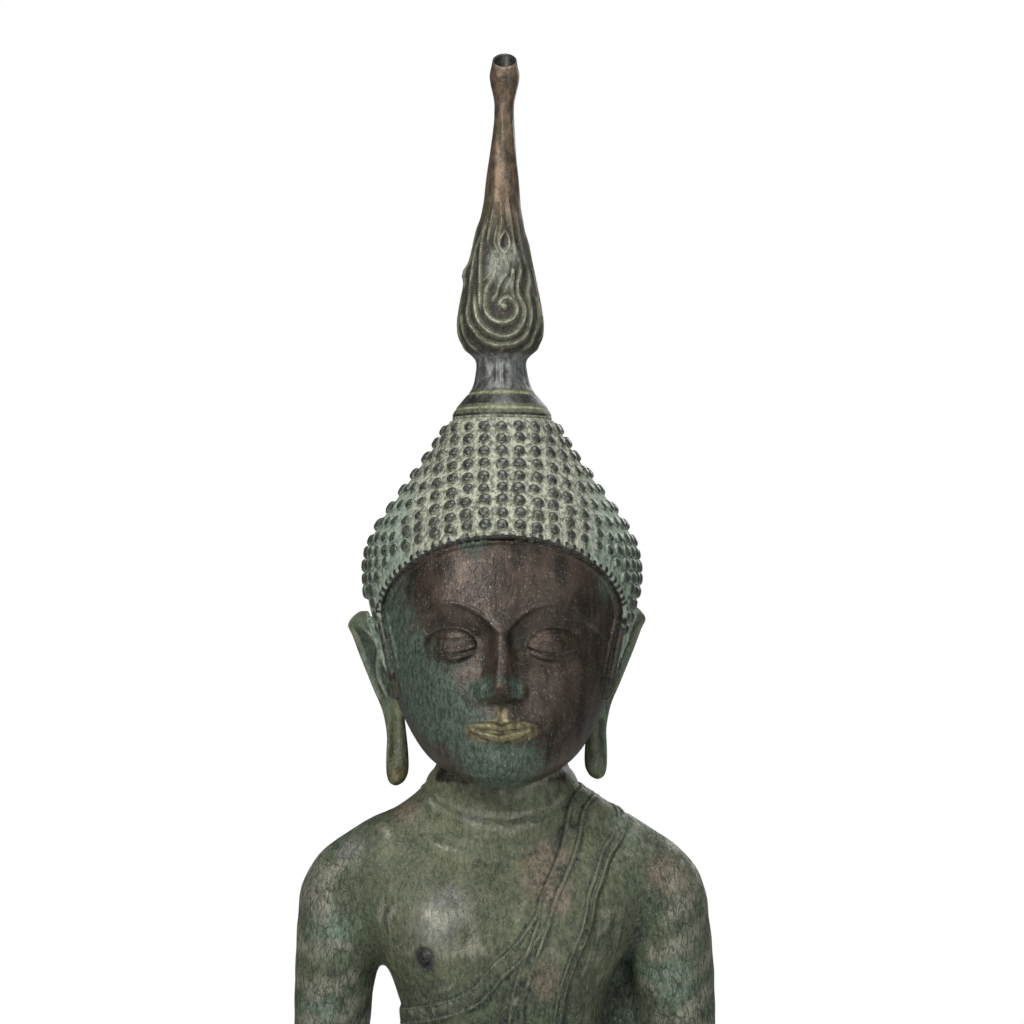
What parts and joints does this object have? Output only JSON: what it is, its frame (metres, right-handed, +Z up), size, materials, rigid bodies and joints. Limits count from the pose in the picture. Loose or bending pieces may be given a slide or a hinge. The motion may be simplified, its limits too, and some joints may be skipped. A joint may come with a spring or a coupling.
{
  "type": "seated buddha statue",
  "caption": "Seated bronze buddha in the earth-touching pose, with beaded hair and a tall flame finial, on a low moulded oval plinth.",
  "frame": {"origin": "centre of the plinth's underside, on the surface it stands on", "axes": "+Z up, -Y the way the figure faces, +X to the figure's left"},
  "size_m": [0.44, 0.3, 0.9],
  "materials": {
    "figure_bronze": "cast bronze with dark olive and green patina",
    "plinth_bronze": "cast bronze with dark olive patina"
  },
  "bodies": {
    "root": {"figure": "figure_bronze", "plinth": "plinth_bronze"}
  },
  "joints": []
}
